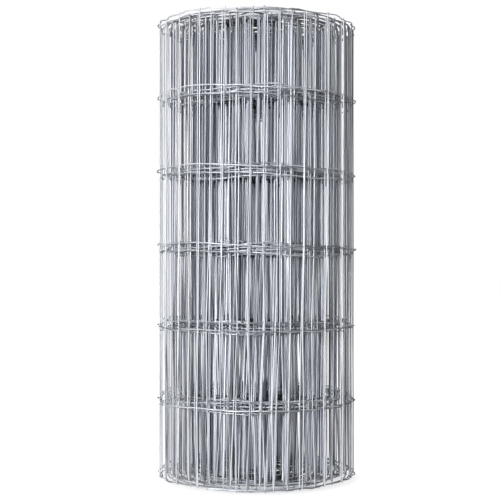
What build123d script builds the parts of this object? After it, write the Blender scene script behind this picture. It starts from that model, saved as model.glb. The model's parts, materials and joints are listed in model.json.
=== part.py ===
"""Roll of galvanised welded wire fencing, standing on its end.

The fence is one welded fabric: line wires that run its whole length, and stays that cross
them and hold them apart. It is wound into one tight roll round an open bore, so the roll is
one turned solid. Its turns show on both ends as ridges, two turns to a ridge, and each line
wire shows on the outside as a band, where its strands stand a little proud of the stays.

Millimetres, +Z up along the roll's axis, origin in the middle of the end that it stands on.
"""

import os

from build123d import *

# The welded fabric
wire_diameter = 2.5
line_wire_count = 7
line_wire_spacing = 150.0
stay_stub = 1.5  # how far a stay runs past the last line wire, at both ends

# The winding
outer_radius = 202.0  # over the stays of the outer turn
bore_radius = 22.0
turn_count = 36
turns_in_a_ridge = 2
ridge_gap_depth = 4.0  # how deep the gap between two ridges shows on the ends

# The bands of line wire on the outside
band_proud = 3.0  # how far the strands bow out past the stays
band_height = 24.0  # how far up and down the strands wander about their line

# Places that follow from the sizes above
first_line_wire = stay_stub + wire_diameter / 2
roll_height = (line_wire_count - 1) * line_wire_spacing + 2 * first_line_wire
turn_pitch = (outer_radius - bore_radius) / turn_count
ridge_count = turn_count // turns_in_a_ridge
ridge_pitch = (outer_radius - bore_radius) / ridge_count
rim_radius = outer_radius - ridge_pitch / 2  # middle of the outer ridge
rim_width = ridge_pitch - turn_pitch + wire_diameter  # over the wires of the outer ridge


def end_ridges(crest_z, gap_z):
    """Gaps and crests of one end, as radius and height, from the bore out to the outer ridge."""
    points = [(bore_radius, gap_z)]
    for ridge in range(1, ridge_count):
        gap_radius = bore_radius + ridge * ridge_pitch
        points.append((gap_radius - ridge_pitch / 2, crest_z))
        points.append((gap_radius, gap_z))
    return points


def rim(crest_z):
    """The outer ridge, flat over its wires, which the roll stands on."""
    return [(rim_radius - rim_width / 2, crest_z), (rim_radius + rim_width / 2, crest_z)]


def bands():
    """The outside from the bottom line wire to the top one, with a band at each."""
    points = []
    for number in range(line_wire_count):
        z = first_line_wire + number * line_wire_spacing
        points.append((outer_radius, z - band_height / 2))
        points.append((outer_radius + band_proud, z))
        points.append((outer_radius, z + band_height / 2))
    return points[1:-1]


def mesh_roll():
    """The whole wound fabric, turned about the roll's axis."""
    bottom = end_ridges(0, ridge_gap_depth) + rim(0)
    top = end_ridges(roll_height, roll_height - ridge_gap_depth) + rim(roll_height)
    outline = bottom + bands() + top[::-1]
    section = Plane.XZ * make_face(Polyline(*outline, close=True))
    return revolve(section, Axis.Z)


os.makedirs("parts", exist_ok=True)
export_step(mesh_roll(), "parts/mesh_roll.step")
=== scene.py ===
"""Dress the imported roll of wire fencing: its welded fabric, the zinc on it, and a plain studio.

The fabric is laid out flat first, as it leaves the welder: x runs along the fence, y points to
the side that ends up outside, and z is up. One shared group of nodes then winds every wire and
weld of it into the roll, so that what is welded together stays together. Lengths are metres.
"""

import json
import logging
import math
from dataclasses import dataclass
from enum import Enum

import bpy
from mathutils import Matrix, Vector


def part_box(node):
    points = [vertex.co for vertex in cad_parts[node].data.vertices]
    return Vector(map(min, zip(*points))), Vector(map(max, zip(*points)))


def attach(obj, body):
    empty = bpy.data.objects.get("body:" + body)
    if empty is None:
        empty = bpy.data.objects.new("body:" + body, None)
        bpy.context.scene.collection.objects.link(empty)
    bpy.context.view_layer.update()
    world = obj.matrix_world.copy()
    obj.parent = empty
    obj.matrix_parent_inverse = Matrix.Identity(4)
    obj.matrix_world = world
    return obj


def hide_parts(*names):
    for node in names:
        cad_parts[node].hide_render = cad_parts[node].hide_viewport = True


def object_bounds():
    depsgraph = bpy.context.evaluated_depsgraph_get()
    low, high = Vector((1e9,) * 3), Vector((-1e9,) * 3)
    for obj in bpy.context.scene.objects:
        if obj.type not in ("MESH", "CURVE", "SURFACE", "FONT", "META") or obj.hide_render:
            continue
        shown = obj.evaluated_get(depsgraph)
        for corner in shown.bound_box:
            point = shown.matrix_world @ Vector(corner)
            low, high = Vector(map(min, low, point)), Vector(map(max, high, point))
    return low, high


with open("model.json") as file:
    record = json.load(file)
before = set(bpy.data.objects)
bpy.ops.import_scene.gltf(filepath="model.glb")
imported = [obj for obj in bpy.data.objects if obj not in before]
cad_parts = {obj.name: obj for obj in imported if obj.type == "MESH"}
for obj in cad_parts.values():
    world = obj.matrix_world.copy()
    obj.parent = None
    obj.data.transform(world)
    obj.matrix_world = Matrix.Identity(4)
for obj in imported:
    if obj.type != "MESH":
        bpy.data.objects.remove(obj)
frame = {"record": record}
cad_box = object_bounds()

LOG = logging.getLogger("fence_roll")
MM = 0.001
BODY = "root"
ROLL_NODE = "mesh_roll"
WHITE = "#ffffff"

# Attributes of the fabric
TONE = "tone"  # how pale its zinc is: 0 to 1 on a stay, and negative on a line wire or a weld
CUT_END = "cut_end"  # true on the faces where a wire was sheared off

# Sockets that share their name with others of the same node, so that only a number tells them apart
MIX_SHARE, MIX_UNDER, MIX_OVER, MIX_COLOUR = 0, 6, 7, 2
RANDOM_LOW, RANDOM_HIGH, RANDOM_NUMBER = 2, 3, 1

Feeds = dict[int | str, object]  # a node's input, by name or number, to a value or to what feeds it


class Course(Enum):
    """The way a wire runs in the flat fabric, as the axis that it follows."""

    ALONG = "X"
    UPRIGHT = "Z"


class Lamp(Enum):
    """The studio's lamps."""

    KEY = "key_softbox"
    TOP = "top_softbox"
    BACK = "back_softbox"


class Wander(Enum):
    """The random wanders of the wound fabric, each with the seed that fixes it."""

    UPPER_SLIP = 1.3
    LOWER_SLIP = 23.1
    WAVE = 7.9
    WAVE_SIZE = 83.5
    STRAY = 47.3
    SPRING = 59.9
    SAG = 67.1


class Step(Enum):
    """A step of arithmetic: the node that works it out, and the setting that makes it do so."""

    ADD = ("ShaderNodeMath", "operation", "ADD")
    SUBTRACT = ("ShaderNodeMath", "operation", "SUBTRACT")
    MULTIPLY = ("ShaderNodeMath", "operation", "MULTIPLY")
    DIVIDE = ("ShaderNodeMath", "operation", "DIVIDE")
    POWER = ("ShaderNodeMath", "operation", "POWER")
    ROOT = ("ShaderNodeMath", "operation", "SQRT")
    SINE = ("ShaderNodeMath", "operation", "SINE")
    COSINE = ("ShaderNodeMath", "operation", "COSINE")
    ABSOLUTE = ("ShaderNodeMath", "operation", "ABSOLUTE")
    LARGER = ("ShaderNodeMath", "operation", "MAXIMUM")
    EXCEEDS = ("ShaderNodeMath", "operation", "GREATER_THAN")
    ZIGZAG = ("ShaderNodeMath", "operation", "PINGPONG")
    RAMP = ("ShaderNodeMapRange", "interpolation_type", "SMOOTHSTEP")


def linear(hex_colour: str) -> tuple[float, float, float, float]:
    """Turn an sRGB hex colour into linear red, green, blue and alpha.

    Args:
        hex_colour: six hex digits after a hash sign.

    Returns:
        The colour as Blender's sockets take it.
    """
    shares = [int(hex_colour[i : i + 2], 16) / 255 for i in (1, 3, 5)]
    lit = [c / 12.92 if c <= 0.04045 else ((c + 0.055) / 1.055) ** 2.4 for c in shares]
    return (*lit, 1.0)


def add_node(
    tree: bpy.types.NodeTree, kind: str, feeds: Feeds | None = None, **settings: object
) -> bpy.types.Node:
    """Add one node to a tree with its settings, values and links.

    Args:
        tree: the tree that takes the node.
        kind: Blender's name for the node.
        feeds: input name or number, to a plain value or to the socket that feeds it.
        settings: the node's own properties.

    Returns:
        The new node.
    """
    node = tree.nodes.new(kind)
    for name, value in settings.items():
        setattr(node, name, value)
    for key, value in (feeds or {}).items():
        if isinstance(value, Field):
            value = value.socket
        if isinstance(value, bpy.types.NodeSocket):
            tree.links.new(value, node.inputs[key])
        else:
            node.inputs[key].default_value = value
    return node


@dataclass(frozen=True)
class Field:
    """A value that differs from point to point, with plain arithmetic where it is a number."""

    socket: bpy.types.NodeSocket

    def step(self, step: Step, *others: "Field | float") -> "Field":
        """Work out one step of arithmetic.

        Args:
            step: which step.
            others: the step's further numbers. A ramp takes its start and end, then its values there,
                rises smoothly between them and stays level outside them.

        Returns:
            The result.
        """
        kind, setting, choice = step.value
        feeds = dict(enumerate([self, *others]))
        return Field(add_node(self.socket.id_data, kind, feeds, **{setting: choice}).outputs[0])

    def __add__(self, other: "Field | float") -> "Field":
        """Add."""
        return self.step(Step.ADD, other)

    def __sub__(self, other: "Field | float") -> "Field":
        """Take away."""
        return self.step(Step.SUBTRACT, other)

    def __mul__(self, other: "Field | float") -> "Field":
        """Multiply."""
        return self.step(Step.MULTIPLY, other)

    def __truediv__(self, other: "Field | float") -> "Field":
        """Divide."""
        return self.step(Step.DIVIDE, other)


class NodePlan:
    """A tree of geometry nodes with named inputs."""

    def __init__(self, name: str, inputs: dict[str, object]) -> None:
        """Start the tree.

        Args:
            name: the tree's name.
            inputs: input name to its value; None is a geometry.
        """
        kinds = {float: "NodeSocketFloat", int: "NodeSocketInt", bpy.types.Material: "NodeSocketMaterial"}
        self.tree = bpy.data.node_groups.new(name, "GeometryNodeTree")
        self.tree.interface.new_socket("Geometry", in_out="OUTPUT", socket_type="NodeSocketGeometry")
        self.identifiers: dict[str, str] = {}
        self.values = {label: value for label, value in inputs.items() if value is not None}
        for label, value in inputs.items():
            kind = kinds.get(type(value), "NodeSocketGeometry")
            socket = self.tree.interface.new_socket(label, in_out="INPUT", socket_type=kind)
            if value is not None:
                socket.default_value = value
            self.identifiers[label] = socket.identifier
        self.inlet = self.tree.nodes.new("NodeGroupInput")
        self.outlet = self.tree.nodes.new("NodeGroupOutput")

    def get(self, label: str) -> Field:
        """One of the tree's own inputs."""
        return Field(self.inlet.outputs[label])

    def add(self, kind: str, feeds: Feeds | None = None, output: int | str = 0, **settings: object) -> Field:
        """Add a node and hand on one of its outputs.

        Args:
            kind: Blender's name for the node.
            feeds: input name or number, to a value or to what feeds it.
            output: which output to hand on.
            settings: the node's own properties.

        Returns:
            That output.
        """
        return Field(add_node(self.tree, kind, feeds, **settings).outputs[output])

    def close(self, geometry: Field) -> None:
        """Give the tree its result."""
        self.tree.links.new(geometry.socket, self.outlet.inputs[0])

    def make(self, name: str, **changed: float) -> bpy.types.Object:
        """Run the tree once and keep the result as a plain mesh.

        Args:
            name: the piece's name.
            changed: inputs that differ from the tree's own values.

        Returns:
            The piece, at the origin, with no modifier left on it.
        """
        piece = bpy.data.objects.new(name, bpy.data.meshes.new(name))
        bpy.context.scene.collection.objects.link(piece)
        maker = piece.modifiers.new(name, "NODES")
        maker.node_group = self.tree
        for label, value in {**self.values, **changed}.items():
            maker[self.identifiers[label]] = value
        graph = bpy.context.evaluated_depsgraph_get()
        mesh = bpy.data.meshes.new_from_object(piece.evaluated_get(graph), depsgraph=graph)
        piece.modifiers.clear()
        piece.data = mesh
        mesh.name = name
        return piece


@dataclass(frozen=True)
class ZincFinish:
    """Galvanised steel wire, drawn and then dipped in zinc.

    The dip leaves a pale satin skin, which has weathered to a dull blue grey. It is mottled along
    each wire, differs from wire to wire, and has turned a warmer grey on a few of the stays. A line
    wire is bright and dull by turns along its length. Deep in the roll the colour is painted light
    and shade, by distance from the axis: a stay there is painted pale as if lit, or dark slate grey
    as if shaded, and the line wires there are painted darkest, as the shade among them.
    """

    name: str = "galvanised_drawn_wire"
    bright: str = "#cbced5"
    dull: str = "#9a9da5"
    warm: str = "#c6c7c8"
    warm_share: float = 0.12  # of the stays
    warm_edge_share: float = 0.02
    line_bright: str = "#d6d9e0"
    line_dull: str = "#7c7f86"
    line_tones: tuple[float, float] = (-0.62, -0.38)  # dull below the first, bright above the second
    line_mark: float = -0.05  # a tone below this is a line wire's or a weld's
    # Painted light and shade deep in the roll: the pale stay colour stands for lit stays, the dark one for
    # shaded stays, and the line colour for the shade among the inner line wires.
    deep_painted_light: str = "#e8ecf5"
    deep_painted_shade: str = "#6c707a"
    painted_light_shade_tones: tuple[float, float] = (0.2, 0.5)  # painted shade below the first, painted light above the second
    deep_line_shade: str = "#2a2c31"
    painted_stay_radii_mm: tuple[float, float] = (140.0, 198.0)  # painted light and shade within the first, weathered zinc past the second
    painted_line_radii_mm: tuple[float, float] = (115.0, 165.0)
    mottle_mm: float = 9.0
    mottle_share: float = 0.25  # of what makes a stay bright or dull
    mottle_range: tuple[float, float] = (0.3, 0.7)  # from the smoothest zinc to the roughest
    weather_mm: float = 70.0
    weather_share: float = 0.3
    tone_share: float = 0.55
    shade_range: tuple[float, float] = (0.1, 0.9)  # dull below the first, bright above the second
    runs_mm: float = 1.6  # drawn coarser than real zinc runs, so that they show
    runs_height_mm: float = 0.05
    runs_strength: float = 0.6
    noise_detail: float = 2.0
    metallic: float = 0.35
    roughness: tuple[float, float] = (0.40, 0.54)

    def material(self) -> bpy.types.Material:
        """Build the finish as a material.

        Returns:
            The material, patterned by the piece's own coordinates and its tone.
        """
        finish = bpy.data.materials.new(self.name)
        finish.use_nodes = True
        tree = finish.node_tree
        tree.nodes.clear()
        place = add_node(tree, "ShaderNodeTexCoord").outputs["Object"]
        noises = []
        for size_mm in (self.mottle_mm, self.weather_mm, self.runs_mm):
            feeds = {"Vector": place, "Scale": 1 / (size_mm * MM), "Detail": self.noise_detail}
            noises.append(Field(add_node(tree, "ShaderNodeTexNoise", feeds).outputs["Fac"]))
        mottle, weather, runs = noises
        tone = Field(add_node(tree, "ShaderNodeAttribute", attribute_name=TONE).outputs["Fac"])
        feeds = {"Base Color": self.colour(tree, place, tone, mottle, weather), "Metallic": self.metallic}
        feeds["Roughness"] = mottle.step(Step.RAMP, *self.mottle_range, *self.roughness)
        relief = {"Height": runs, "Distance": self.runs_height_mm * MM, "Strength": self.runs_strength}
        feeds["Normal"] = add_node(tree, "ShaderNodeBump", relief).outputs["Normal"]
        skin = add_node(tree, "ShaderNodeBsdfPrincipled", feeds)
        add_node(tree, "ShaderNodeOutputMaterial", {"Surface": skin.outputs["BSDF"]})
        return finish

    def colour(
        self,
        tree: bpy.types.NodeTree,
        place: bpy.types.NodeSocket,
        tone: Field,
        mottle: Field,
        weather: Field,
    ) -> bpy.types.NodeSocket:
        """Mix the zinc's greys, and the painted light and shade deep in the roll.

        Args:
            tree: the material's tree.
            place: the piece's own coordinates.
            tone: how pale the wire is.
            mottle: the fine pattern of the zinc.
            weather: the broad pattern of its weathering.

        Returns:
            The colour.
        """
        feeds = {0: place, 1: (1.0, 1.0, 0.0)}  # without the height, which leaves the way from the axis
        level = add_node(tree, "ShaderNodeVectorMath", feeds, operation="MULTIPLY").outputs[0]
        distance = add_node(tree, "ShaderNodeVectorMath", {0: level}, operation="LENGTH")
        from_axis = Field(distance.outputs["Value"])
        shade = mottle * self.mottle_share + weather * self.weather_share + tone * self.tone_share
        is_bright = shade.step(Step.RAMP, *self.shade_range, 0.0, 1.0)
        warm_edges = (self.warm_share, self.warm_share + self.warm_edge_share)
        is_warm = tone.step(Step.ABSOLUTE).step(Step.RAMP, *warm_edges, 1.0, 0.0)
        is_line = tone.step(Step.RAMP, self.line_mark, 0.0, 1.0, 0.0)
        is_bright_line = tone.step(Step.RAMP, *self.line_tones, 0.0, 1.0)
        # Painted light and shade deep in the roll, by distance from the axis: stays painted pale as if lit or
        # dark as if shaded, by their tone, and line wires darkest, as shade.
        is_painted_lit = tone.step(Step.RAMP, *self.painted_light_shade_tones, 0.0, 1.0)
        deep_stay_light_shade, deep_line_shade = (
            from_axis.step(Step.RAMP, within * MM, past * MM, 1.0, 0.0)
            for within, past in (self.painted_stay_radii_mm, self.painted_line_radii_mm)
        )
        is_deep_painted = deep_stay_light_shade + (deep_line_shade - deep_stay_light_shade) * is_line
        mixes = {
            "weathered grey": (is_bright, linear(self.dull), linear(self.bright)),
            "weathered stay": (is_warm, "weathered grey", linear(self.warm)),
            "weathered line wire": (is_bright_line, linear(self.line_dull), linear(self.line_bright)),
            "weathered": (is_line, "weathered stay", "weathered line wire"),
            # The two deep mixes below are painted light and shade, not a colour of the zinc.
            "deep stay, painted light and shade": (is_painted_lit, linear(self.deep_painted_shade), linear(self.deep_painted_light)),
            "deep, painted light and shade": (is_line, "deep stay, painted light and shade", linear(self.deep_line_shade)),
            "zinc": (is_deep_painted, "weathered", "deep, painted light and shade"),
        }
        mixed: dict[str, bpy.types.NodeSocket] = {}
        for label, (share, under, over) in mixes.items():
            feeds = {MIX_SHARE: share, MIX_UNDER: mixed.get(under, under), MIX_OVER: mixed.get(over, over)}
            mixed[label] = add_node(tree, "ShaderNodeMix", feeds, data_type="RGBA").outputs[MIX_COLOUR]
        return mixed["zinc"]


@dataclass(frozen=True)
class ShearedFinish:
    """Bare steel where the wire was sheared off after it was dipped.

    The cut is dark and dull beside the zinc, with a brown cast where it has begun to rust.
    """

    name: str = "sheared_steel_end"
    steel: str = "#77777a"
    rust: str = "#6b5546"
    patch_mm: float = 1.2
    metallic: float = 0.8
    roughness: float = 0.55

    def material(self) -> bpy.types.Material:
        """Build the finish as a material.

        Returns:
            The material, patterned by the piece's own coordinates.
        """
        finish = bpy.data.materials.new(self.name)
        finish.use_nodes = True
        tree = finish.node_tree
        tree.nodes.clear()
        place = add_node(tree, "ShaderNodeTexCoord").outputs["Object"]
        feeds = {"Vector": place, "Scale": 1 / (self.patch_mm * MM)}
        patch = add_node(tree, "ShaderNodeTexNoise", feeds).outputs["Fac"]
        ramp = add_node(tree, "ShaderNodeValToRGB", {"Fac": patch})
        ramp.color_ramp.elements[0].color = linear(self.rust)
        ramp.color_ramp.elements[1].color = linear(self.steel)
        feeds = {"Base Color": ramp.outputs["Color"], "Metallic": self.metallic, "Roughness": self.roughness}
        skin = add_node(tree, "ShaderNodeBsdfPrincipled", feeds)
        add_node(tree, "ShaderNodeOutputMaterial", {"Surface": skin.outputs["BSDF"]})
        return finish


@dataclass(frozen=True)
class Fabric:
    """The welded fabric, laid flat. Stays are on the outer side of the line wires."""

    height: float
    wire: float = 2.5 * MM
    line_wires: int = 7
    stay_stub: float = 1.5 * MM  # how far a stay runs past the last line wire, at both ends
    stay_pitch: float = 52.75 * MM
    first_stay: float = 22.0 * MM  # from the inner end of the fabric
    set_down: float = 0.6 * MM  # how far the welder presses a stay into a line wire
    sides: int = 8  # of a wire's round section

    @property
    def first_line(self) -> float:
        """Height of the lowest line wire."""
        return self.stay_stub + self.wire / 2

    @property
    def line_spacing(self) -> float:
        """Distance from one line wire to the next."""
        return (self.height - 2 * self.first_line) / (self.line_wires - 1)

    @property
    def stay_side(self) -> float:
        """How far outside the line wires' middle the stays' middle lies."""
        return self.wire - self.set_down

    def line_height(self, number: int) -> float:
        """Height of one line wire, where the lowest is number 0."""
        return self.first_line + number * self.line_spacing


@dataclass(frozen=True)
class Winding:
    """How the flat fabric is wound, and how far from true its turns lie."""

    fabric: Fabric
    bore_radius: float
    outer_radius: float
    turns: int = 36
    seam_deg: float = 16.0  # where round the back the fabric's two ends lie
    rise: float = 10.0 * MM  # of the turns' middle, so that the lowest of them stand on the floor
    upper_slip: float = 14.0 * MM  # how far at most the turns slip up and down on each other
    lower_slip: float = 12.0 * MM
    upper_start: float = 3.65  # how far through its slip the fabric starts, in radians
    lower_start: float = -3.59
    slip_step_share: float = 0.382  # of a whole slip in each turn, so that turns side by side aren't level
    slip_drift: float = 1.8  # how far a turn's slip wanders as it goes round, in radians
    slip_length: float = 0.35
    upper_wave: float = 12.0 * MM  # how far a turn waves up and down
    lower_wave: float = 7.0 * MM
    wave_length: float = 0.075
    level_top_share: float = 0.5  # what is left of the slip at the top, which is knocked level
    level_foot_share: float = 0.65  # what is left of the slip and the waves at the foot
    skew: float = 8.0 * MM  # how far the stays lean over the whole height
    lean: float = 2.6 * MM  # how far a stay strays sideways
    lower_lean: float = 3.4  # times as far, near the foot
    lean_height: float = 0.30
    lean_length_share: float = 0.7  # of the distance between stays
    bow: float = 1.5 * MM  # how far a line wire bows out between two stays
    outer_bow: float = 11.0 * MM
    bow_height: float = 0.06
    bow_length_share: float = 0.8  # of the distance between stays
    spring_share: float = 0.55  # of the whole bow, on average
    spring_spread_share: float = 0.45
    loose_length: float = 3.8  # of the fabric's outer end, where little holds it down
    noise_middle: float = 0.5
    noise_gain: float = 3.0  # spreads the noise to between about -1 and 1

    @property
    def first_radius(self) -> float:
        """Radius of the line wires where the fabric starts, in the bore."""
        return self.bore_radius + self.fabric.wire / 2

    @property
    def last_radius(self) -> float:
        """Radius of the line wires where the fabric ends, on the outside."""
        return self.outer_radius - self.fabric.wire / 2 - self.fabric.stay_side

    @property
    def turn_pitch(self) -> float:
        """Distance from one turn to the next."""
        return (self.last_radius - self.first_radius) / self.turns

    @property
    def length(self) -> float:
        """Length of fabric that the turns take up."""
        return math.pi * (self.last_radius**2 - self.first_radius**2) / self.turn_pitch

    @property
    def stays(self) -> int:
        """How many stays that length has."""
        return int((self.length - self.fabric.first_stay) / self.fabric.stay_pitch) + 1

    def inputs(self) -> dict[str, object]:
        """Name the inputs of the group that winds the fabric.

        Returns:
            Input name to the size that it takes; the fabric itself has none.
        """
        fabric = self.fabric
        return {
            "Fabric": None,
            "Height": fabric.height,
            "Middle line": fabric.line_height(fabric.line_wires // 2),
            "Line spacing": fabric.line_spacing,
            "First stay": fabric.first_stay,
            "Stay pitch": fabric.stay_pitch,
            "First radius": self.first_radius,
            "Turn pitch": self.turn_pitch,
            "Rise": self.rise,
            "Upper slip": self.upper_slip,
            "Lower slip": self.lower_slip,
            "Slip length": self.slip_length,
            "Upper wave": self.upper_wave,
            "Lower wave": self.lower_wave,
            "Wave length": self.wave_length,
            "Skew": self.skew,
            "Lean": self.lean,
            "Lean height": self.lean_height,
            "Bow": self.bow,
            "Outer bow": self.outer_bow,
            "Bow height": self.bow_height,
            "Loose from": self.length - self.loose_length,
            "Loose past": self.length - self.loose_length / 2,
        }

    def wander(self, plan: NodePlan, along: Field, up: Field | float, which: Wander) -> Field:
        """Wander slowly at random between about -1 and 1.

        Args:
            plan: the tree that takes the nodes.
            along: place along the fabric, in lengths of the wander.
            up: place up the fabric, in heights of the wander.
            which: which of the wanders.

        Returns:
            The wander.
        """
        place = plan.add("ShaderNodeCombineXYZ", {"X": along, "Y": up, "Z": which.value})
        noise = plan.add("ShaderNodeTexNoise", {"Vector": place, "Scale": 1.0, "Detail": 0.0})
        return (noise - self.noise_middle) * self.noise_gain

    def turn_radius(self, plan: NodePlan, along: Field) -> Field:
        """Work out the radius of the turns.

        Args:
            plan: the tree that takes the nodes.
            along: place along the fabric.

        Returns:
            The line wires' radius there.
        """
        grown = along * (plan.get("Turn pitch") / math.pi)
        return (grown + plan.get("First radius").step(Step.POWER, 2.0)).step(Step.ROOT)

    def zigzag(self, phase: Field) -> Field:
        """Go evenly up and down between -1 and 1.

        Args:
            phase: how far it has gone, in radians; a whole turn goes up and down once.

        Returns:
            The zigzag, which crosses 0 where a sine does.
        """
        quarter, half = 0.25, 0.5  # of a whole turn
        return (phase / math.tau - quarter).step(Step.ZIGZAG, half) / -quarter + 1.0

    def slip(self, plan: NodePlan, along: Field, up: Field, is_upper: Field) -> Field:
        """Slip the turns up and down on each other, and wave them.

        Args:
            plan: the tree that takes the nodes.
            along: place along the fabric.
            up: place up the fabric.
            is_upper: 1 in the upper half and 0 near the foot.

        Returns:
            How far up a place has slipped.
        """
        turned = (self.turn_radius(plan, along) - plan.get("First radius")) / plan.get("Turn pitch")
        phase = turned * (math.tau * self.slip_step_share)
        drift = along / plan.get("Slip length")
        upper = self.wander(plan, drift, 0.0, Wander.UPPER_SLIP) * self.slip_drift + phase + self.upper_start
        lower = self.wander(plan, drift, 0.0, Wander.LOWER_SLIP) * self.slip_drift + phase + self.lower_start
        upper = self.zigzag(upper) * plan.get("Upper slip")
        lower = self.zigzag(lower) * plan.get("Lower slip")
        slip = lower + (upper - lower) * is_upper
        below_top = plan.get("Height") - plan.get("Line spacing")
        slip *= up.step(Step.RAMP, below_top, plan.get("Height"), 1.0, self.level_top_share)
        waves = self.wander(plan, along / plan.get("Wave length"), 0.0, Wander.WAVE)
        waves *= self.wander(plan, drift / 2, 0.0, Wander.WAVE_SIZE).step(Step.ABSOLUTE)
        wave = is_upper * (plan.get("Upper wave") - plan.get("Lower wave")) + plan.get("Lower wave")
        foot = up.step(Step.RAMP, 0.0, plan.get("Line spacing"), self.level_foot_share, 1.0)
        return (slip + waves * wave) * foot

    def lean_over(self, plan: NodePlan, along: Field, up: Field, is_upper: Field) -> Field:
        """Lean the stays over, all of them a little and each in its own way.

        Args:
            plan: the tree that takes the nodes.
            along: place along the fabric.
            up: place up the fabric.
            is_upper: 1 in the upper half and 0 near the foot.

        Returns:
            The place along the fabric where a place ends up.
        """
        lean_length = plan.get("Stay pitch") * self.lean_length_share
        strays = self.wander(plan, along / lean_length, up / plan.get("Lean height"), Wander.STRAY)
        strays *= is_upper * (1.0 - self.lower_lean) + self.lower_lean
        skewed = along - up * (plan.get("Skew") / plan.get("Height"))
        return skewed + strays * plan.get("Lean") + plan.get("Skew")

    def bow_out(self, plan: NodePlan, along: Field, up: Field) -> tuple[Field, Field]:
        """Bow the line wires between the stays, most of all in the loose outer turns.

        Args:
            plan: the tree that takes the nodes.
            along: place along the fabric.
            up: place up the fabric.

        Returns:
            How far outward and how far up a place is bowed.
        """
        half_wave = ((along - plan.get("First stay")) * math.pi / plan.get("Stay pitch")).step(Step.SINE)
        between = half_wave * half_wave
        loose_edges = (plan.get("Loose from"), plan.get("Loose past"))
        reach = along.step(Step.RAMP, *loose_edges, plan.get("Bow"), plan.get("Outer bow"))
        place = (along / (plan.get("Stay pitch") * self.bow_length_share), up / plan.get("Bow height"))
        springs = self.wander(plan, *place, Wander.SPRING) * self.spring_spread_share + self.spring_share
        sags = self.wander(plan, *place, Wander.SAG)
        return between * springs * reach, between * sags * plan.get("Bow")

    def plan(self) -> NodePlan:
        """Build the group that winds flat fabric into the roll.

        Returns:
            The group, from geometry to geometry.
        """
        plan = NodePlan("wind_fabric", self.inputs())
        axes = add_node(plan.tree, "ShaderNodeSeparateXYZ", {0: plan.add("GeometryNodeInputPosition")})
        along, outward, up = (Field(socket) for socket in axes.outputs)
        middle = plan.get("Middle line")
        is_upper = up.step(Step.RAMP, middle - plan.get("Line spacing"), middle, 0.0, 1.0)
        radius = self.turn_radius(plan, self.lean_over(plan, along, up, is_upper))
        turned = (radius - plan.get("First radius")) / plan.get("Turn pitch")
        angle = turned * math.tau + math.radians(self.seam_deg)
        bow_outward, bow_up = self.bow_out(plan, along, up)
        radius += outward + bow_outward
        height = up + self.slip(plan, along, up, is_upper) + bow_up + plan.get("Rise")
        wound = {"X": radius * angle.step(Step.SINE), "Y": radius * angle.step(Step.COSINE), "Z": height}
        place = plan.add("ShaderNodeCombineXYZ", wound)
        plan.close(plan.add("GeometryNodeSetPosition", {"Geometry": plan.get("Fabric"), "Position": place}))
        return plan


@dataclass
class Welded:
    """What the fabric is welded of: made flat, and wound with the rest of it."""

    fabric: Fabric
    winding: Winding
    winder: NodePlan
    zinc: bpy.types.Material

    def wind(self, plan: NodePlan, flat: Field) -> Field:
        """Wind flat geometry into the roll and coat it.

        Args:
            plan: the tree that takes the nodes.
            flat: the geometry, in its place in the flat fabric.

        Returns:
            The wound geometry.
        """
        feeds = {**self.winder.values, "Fabric": flat}
        wound = plan.add("GeometryNodeGroup", feeds, node_tree=self.winder.tree)
        whole = plan.add("GeometryNodeRealizeInstances", {"Geometry": wound})
        return plan.add("GeometryNodeSetMaterial", {"Geometry": whole, "Material": plan.get("Zinc")})


@dataclass
class Wires(Welded):
    """Wires of one course: round wire, cut off square."""

    sheared: bpy.types.Material
    course: Course

    def tube(self, plan: NodePlan, lines: Field) -> Field:
        """Turn flat lines into round wires, wind them and dress them.

        Args:
            plan: the tree that takes the nodes.
            lines: the wires' middle lines.

        Returns:
            The finished wires.
        """
        feeds = {"Resolution": plan.get("Sides"), "Radius": plan.get("Wire") / 2}
        ring = plan.add("GeometryNodeCurvePrimitiveCircle", feeds)
        feeds = {"Curve": lines, "Profile Curve": ring, "Fill Caps": True}
        round_wires = plan.add("GeometryNodeCurveToMesh", feeds)
        facing = add_node(plan.tree, "ShaderNodeSeparateXYZ", {0: plan.add("GeometryNodeInputNormal")})
        nearly_along = 0.9  # what the face of a cut reaches, as it points along its wire
        is_cut = Field(facing.outputs[self.course.value]).step(Step.ABSOLUTE).step(Step.EXCEEDS, nearly_along)
        feeds = {"Geometry": round_wires, "Name": CUT_END, "Value": is_cut}
        marked = plan.add("GeometryNodeStoreNamedAttribute", feeds, data_type="BOOLEAN", domain="FACE")
        is_cut = plan.add("GeometryNodeInputNamedAttribute", {"Name": CUT_END}, data_type="BOOLEAN")
        is_side = plan.add("FunctionNodeBooleanMath", {0: is_cut}, operation="NOT")
        smooth = plan.add("GeometryNodeSetShadeSmooth", {"Geometry": marked, "Shade Smooth": is_side})
        feeds = {"Geometry": self.wind(plan, smooth), "Selection": is_cut, "Material": plan.get("Sheared")}
        return plan.add("GeometryNodeSetMaterial", feeds)


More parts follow.
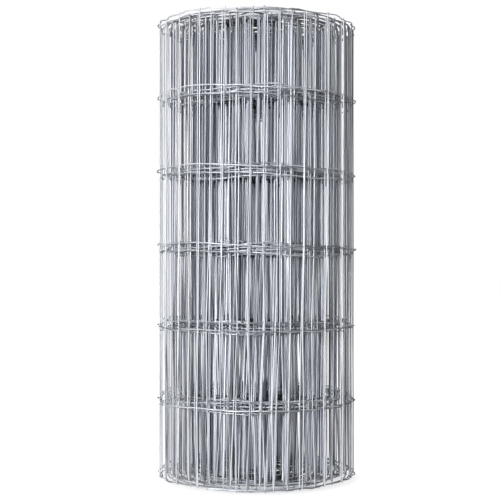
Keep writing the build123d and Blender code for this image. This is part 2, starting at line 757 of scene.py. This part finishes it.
@dataclass
class StayWires(Wires):
    """The stays: straight wires across the fabric, welded to every line wire."""

    seed: int
    spans: int = 1  # straight lengths between two line wires

    def build(self) -> list[bpy.types.Object]:
        """Make all the stays as one piece.

        Returns:
            That piece, in a list.
        """
        fabric = self.fabric
        inputs = {
            "Count": self.winding.stays,
            "First": fabric.first_stay,
            "Pitch": fabric.stay_pitch,
            "Height": fabric.height,
            "Outward": fabric.stay_side,
            "Wire": fabric.wire,
            "Sides": fabric.sides,
            "Points": self.spans * (fabric.line_wires - 1) + 1,
            "Seed": self.seed,
            "Zinc": self.zinc,
            "Sheared": self.sheared,
        }
        plan = NodePlan("stay_wires", inputs)
        step = plan.add("ShaderNodeCombineXYZ", {"X": plan.get("Pitch")})
        start = plan.add("ShaderNodeCombineXYZ", {"X": plan.get("First"), "Y": plan.get("Outward")})
        feeds = {"Count": plan.get("Count"), "Start Location": start, "Offset": step}
        feet = plan.add("GeometryNodeMeshLine", feeds)
        top = plan.add("ShaderNodeCombineXYZ", {"Z": plan.get("Height")})
        line = plan.add("GeometryNodeCurvePrimitiveLine", {"End": top})
        line = plan.add("GeometryNodeResampleCurve", {"Curve": line, "Count": plan.get("Points")})
        stays = plan.add("GeometryNodeInstanceOnPoints", {"Points": feet, "Instance": line})
        shade = plan.add("FunctionNodeRandomValue", {"Seed": plan.get("Seed")}, RANDOM_NUMBER)
        feeds = {"Geometry": stays, "Name": TONE, "Value": shade}
        stays = plan.add("GeometryNodeStoreNamedAttribute", feeds, data_type="FLOAT", domain="INSTANCE")
        plan.close(self.tube(plan, plan.add("GeometryNodeRealizeInstances", {"Geometry": stays})))
        return [plan.make("stay_wires")]


@dataclass
class LineWires(Wires):
    """The line wires: each runs the fabric's whole length, and shows as a ring on every turn."""

    spans: int = 4  # straight lengths between two stays, which let a line wire bend
    overhang: float = 7.0 * MM  # past the first and the last stay
    tone_length: float = 0.22  # from a bright stretch to a dull one

    def build(self) -> list[bpy.types.Object]:
        """Make each line wire as a piece of its own.

        Returns:
            The pieces, the lowest first.
        """
        fabric, gaps = self.fabric, self.winding.stays - 1
        inputs = {
            "Level": fabric.first_line,
            "Start": fabric.first_stay - self.overhang,
            "End": fabric.first_stay + gaps * fabric.stay_pitch + self.overhang,
            "Wire": fabric.wire,
            "Sides": fabric.sides,
            "Points": self.spans * gaps + 1,
            "Tone length": self.tone_length,
            "Zinc": self.zinc,
            "Sheared": self.sheared,
        }
        plan = NodePlan("line_wire", inputs)
        start = plan.add("ShaderNodeCombineXYZ", {"X": plan.get("Start"), "Z": plan.get("Level")})
        end = plan.add("ShaderNodeCombineXYZ", {"X": plan.get("End"), "Z": plan.get("Level")})
        line = plan.add("GeometryNodeCurvePrimitiveLine", {"Start": start, "End": end})
        line = plan.add("GeometryNodeResampleCurve", {"Curve": line, "Count": plan.get("Points")})
        scale = plan.get("Tone length").step(Step.POWER, -1.0)
        feeds = {"Vector": plan.add("GeometryNodeInputPosition"), "Scale": scale, "Detail": 1.0}
        shade = plan.add("ShaderNodeTexNoise", feeds)
        feeds = {"Geometry": line, "Name": TONE, "Value": shade * -1.0}
        line = plan.add("GeometryNodeStoreNamedAttribute", feeds, data_type="FLOAT", domain="POINT")
        plan.close(self.tube(plan, line))
        return [
            plan.make(f"line_wire_{number + 1}", Level=fabric.line_height(number))
            for number in range(fabric.line_wires)
        ]


@dataclass
class Welds(Welded):
    """The welds: a small nugget of metal at every crossing of a stay and a line wire."""

    seed: int
    width: float = 1.75 * MM  # half the nugget's breadth, along the fence and up
    depth: float = 1.45 * MM
    size_shares: tuple[float, float] = (0.8, 1.15)  # the smallest and the largest nugget
    tones: tuple[float, float] = (-0.6, -0.1)

    def build(self) -> list[bpy.types.Object]:
        """Make all the welds as one piece.

        Returns:
            That piece, in a list.
        """
        fabric = self.fabric
        inputs = {
            "Stays": self.winding.stays,
            "First stay": fabric.first_stay,
            "Pitch": fabric.stay_pitch,
            "Line wires": fabric.line_wires,
            "First line": fabric.first_line,
            "Spacing": fabric.line_spacing,
            "Outward": fabric.stay_side / 2,
            "Width": self.width,
            "Depth": self.depth,
            "Seed": self.seed,
            "Zinc": self.zinc,
        }
        plan = NodePlan("welds", inputs)
        step = plan.add("ShaderNodeCombineXYZ", {"X": plan.get("Pitch")})
        rise = plan.add("ShaderNodeCombineXYZ", {"Z": plan.get("Spacing")})
        corner = {"X": plan.get("First stay"), "Y": plan.get("Outward"), "Z": plan.get("First line")}
        start = plan.add("ShaderNodeCombineXYZ", corner)
        feeds = {"Count": plan.get("Stays"), "Start Location": start, "Offset": step}
        row = plan.add("GeometryNodeMeshLine", feeds)
        column = plan.add("GeometryNodeMeshLine", {"Count": plan.get("Line wires"), "Offset": rise})
        columns = plan.add("GeometryNodeInstanceOnPoints", {"Points": row, "Instance": column})
        crossings = plan.add("GeometryNodeRealizeInstances", {"Geometry": columns})
        nugget = plan.add("GeometryNodeMeshIcoSphere", {"Radius": 1.0, "Subdivisions": 1})
        size = {"X": plan.get("Width"), "Y": plan.get("Depth"), "Z": plan.get("Width")}
        drawn = []
        for low, high in (self.size_shares, self.tones):
            feeds = {RANDOM_LOW: low, RANDOM_HIGH: high, "Seed": plan.get("Seed")}
            drawn.append(plan.add("FunctionNodeRandomValue", feeds, RANDOM_NUMBER))
        share, shade = drawn
        feeds = {0: plan.add("ShaderNodeCombineXYZ", size), "Scale": share}
        scale = plan.add("ShaderNodeVectorMath", feeds, operation="SCALE")
        feeds = {"Points": crossings, "Instance": nugget, "Scale": scale}
        nuggets = plan.add("GeometryNodeInstanceOnPoints", feeds)
        feeds = {"Geometry": nuggets, "Name": TONE, "Value": shade}
        nuggets = plan.add("GeometryNodeStoreNamedAttribute", feeds, data_type="FLOAT", domain="INSTANCE")
        whole = plan.add("GeometryNodeRealizeInstances", {"Geometry": nuggets})
        plan.close(self.wind(plan, plan.add("GeometryNodeSetShadeSmooth", {"Geometry": whole})))
        return [plan.make("weld_nuggets")]


@dataclass(frozen=True)
class Softbox:
    """One of the studio's lamps: a square soft face, turned to the roll."""

    lamp: Lamp
    place: tuple[float, float, float]
    side: float
    watts: float

    def hang(self, focus: Vector) -> None:
        """Hang the lamp in its place.

        Args:
            focus: the point that it faces.
        """
        box = bpy.data.lights.new(self.lamp.value, "AREA")
        box.size = self.side
        box.energy = self.watts
        hung = bpy.data.objects.new(self.lamp.value, box)
        hung.location = self.place
        hung.rotation_euler = (focus - Vector(self.place)).to_track_quat("-Z", "Y").to_euler()
        bpy.context.scene.collection.objects.link(hung)


@dataclass(frozen=True)
class Studio:
    """The plain floor, the lamps, the white round the roll, and the camera."""

    focus: Vector
    eye: tuple[float, float, float] = (0.0, -2.28, 0.447)
    lens_mm: float = 80.0
    right_px: float = 7.0  # how far right of the picture's middle the roll's axis stands
    down_px: float = 8.0
    picture_px: float = 500.0
    softboxes: tuple[Softbox, ...] = (
        Softbox(Lamp.KEY, (-1.3, -2.73, 0.75), 0.5, 114.0),  # from the left of the camera
        Softbox(Lamp.TOP, (-0.3, -0.6, 2.8), 1.6, 5.0),
        Softbox(Lamp.BACK, (-0.1, 2.7, 2.0), 1.6, 46.0),  # for the far side
    )
    ambient: float = 0.04
    room: float = 0.03  # what the metal mirrors of the dark side of the studio, behind the camera
    dark_sides: float = 0.6  # how far that dark side reaches round on the left and right
    backdrop_edges: tuple[float, float] = (0.4, 0.8)  # how far behind the roll the white starts and is full
    floor_half: float = 30.0
    floor_front: float = 1.2  # how far it reaches towards the camera, past what the picture shows
    floor_paint: str = "#a8a8a8"
    floor_lift: float = 0.93  # what the camera sees of the floor above its own light, beside the roll
    floor_radii: tuple[float, float] = (0.4, 2.5)  # where that starts to rise, and where it is white
    painted_shadow_share: float = 0.65  # painted shadow: the share of it that is left within the roll
    painted_shadow_radii: tuple[float, float] = (0.12, 0.25)

    def camera(self) -> None:
        """Put the camera level with the middle of the roll, as the photograph was taken."""
        lens = bpy.data.cameras.new("camera")
        lens.lens = self.lens_mm
        lens.shift_x = -self.right_px / self.picture_px
        lens.shift_y = self.down_px / self.picture_px
        eye = bpy.data.objects.new("camera", lens)
        eye.location = self.eye
        eye.rotation_euler = (math.pi / 2, 0.0, 0.0)
        bpy.context.scene.collection.objects.link(eye)
        bpy.context.scene.camera = eye

    def world(self) -> None:
        """Show white behind the roll and in its reflections, and light it softly all round."""
        world = bpy.data.worlds.new("white_studio")
        world.use_nodes = True
        tree = world.node_tree
        tree.nodes.clear()
        way = add_node(tree, "ShaderNodeTexCoord").outputs["Generated"]
        ways = add_node(tree, "ShaderNodeSeparateXYZ", {0: way})
        behind = Field(ways.outputs["Y"]) - Field(ways.outputs["X"]).step(Step.ABSOLUTE) * self.dark_sides
        backdrop = behind.step(Step.RAMP, *self.backdrop_edges, self.room, 1.0)
        path = add_node(tree, "ShaderNodeLightPath")
        camera = Field(path.outputs["Is Camera Ray"])
        mirrored = Field(path.outputs["Is Glossy Ray"])
        mirrored = mirrored.step(Step.LARGER, Field(path.outputs["Is Transmission Ray"]))
        unseen = camera.step(Step.LARGER, mirrored) * -self.ambient + self.ambient
        strength = camera.step(Step.LARGER, mirrored * backdrop) + unseen
        white = add_node(tree, "ShaderNodeBackground", {"Color": linear(WHITE), "Strength": strength})
        add_node(tree, "ShaderNodeOutputWorld", {"Surface": white.outputs[0]})
        bpy.context.scene.world = world

    def floor_material(self) -> bpy.types.Material:
        """Build the floor's matt paint, which is white to the camera where no shadow falls, with a painted
        shadow within the roll and round its foot.

        Returns:
            The material.
        """
        paint = bpy.data.materials.new("matt_white_floor")
        paint.use_nodes = True
        tree = paint.node_tree
        tree.nodes.clear()
        path = add_node(tree, "ShaderNodeLightPath")
        seen = Field(path.outputs["Is Camera Ray"])
        for ray in ("Is Glossy Ray", "Is Transmission Ray"):
            seen = seen.step(Step.LARGER, Field(path.outputs[ray]))
        matt = add_node(tree, "ShaderNodeBsdfDiffuse", {"Color": linear(self.floor_paint)})
        place = add_node(tree, "ShaderNodeTexCoord").outputs["Object"]
        reach = Field(add_node(tree, "ShaderNodeVectorMath", {0: place}, operation="LENGTH").outputs["Value"])
        lift = seen * reach.step(Step.RAMP, *self.floor_radii, self.floor_lift, 1.0)
        # Painted shadow: the floor's glow is dimmed within the roll and round its foot.
        lift *= reach.step(Step.RAMP, *self.painted_shadow_radii, self.painted_shadow_share, 1.0)
        glow = add_node(tree, "ShaderNodeEmission", {"Color": linear(WHITE), "Strength": lift})
        both = add_node(tree, "ShaderNodeAddShader", {0: matt.outputs[0], 1: glow.outputs[0]})
        add_node(tree, "ShaderNodeOutputMaterial", {"Surface": both.outputs[0]})
        return paint

    def floor(self) -> None:
        """Lay the floor."""
        half, near = self.floor_half, -self.floor_front
        sheet = bpy.data.meshes.new("studio_floor")
        corners = [(-half, near, 0.0), (half, near, 0.0), (half, half, 0.0), (-half, half, 0.0)]
        sheet.from_pydata(corners, [], [(0, 1, 2, 3)])
        sheet.materials.append(self.floor_material())
        floor = bpy.data.objects.new("studio_floor", sheet)
        bpy.context.scene.collection.objects.link(floor)

    def build(self) -> None:
        """Set the whole studio up."""
        bpy.context.scene.view_settings.view_transform = "Standard"
        self.camera()
        self.world()
        for softbox in self.softboxes:
            softbox.hang(self.focus)
        self.floor()


def read_frame() -> tuple[Fabric, Winding]:
    """Take the roll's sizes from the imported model.

    Returns:
        The flat fabric and the way it is wound.
    """
    low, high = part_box(ROLL_NODE)
    bore = next(mount for mount in frame["record"]["mounts"] if mount["kind"] == "bore")
    band_proud = 3.0 * MM  # how far the model's bands stand out past its stays
    fabric = Fabric(height=high.z - low.z)
    winding = Winding(fabric, bore["dims"]["r_mm"] * MM, (high.x - low.x) / 2 - band_proud)
    return fabric, winding


def main() -> None:
    """Build the roll piece by piece, then the studio round it, and report."""
    logging.basicConfig(level=logging.INFO, format="%(name)s: %(message)s")
    fabric, winding = read_frame()
    winder = winding.plan()
    zinc, sheared = ZincFinish().material(), ShearedFinish().material()
    parts = [
        StayWires(fabric, winding, winder, zinc, sheared, Course.UPRIGHT, seed=3),
        LineWires(fabric, winding, winder, zinc, sheared, Course.ALONG),
        Welds(fabric, winding, winder, zinc, seed=11),
    ]
    pitch_mm = winding.turn_pitch / MM
    LOG.info("%.2f m of fabric, %d stays, turns %.2f mm apart", winding.length, winding.stays, pitch_mm)
    for part in parts:
        for piece in part.build():
            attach(piece, BODY)
            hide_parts(ROLL_NODE)
            triangles = sum(len(face.vertices) - 2 for face in piece.data.polygons)
            LOG.info("%s: %d triangles", piece.name, triangles)
    Studio(focus=(cad_box[0] + cad_box[1]) / 2).build()


if __name__ == "__main__":
    main()
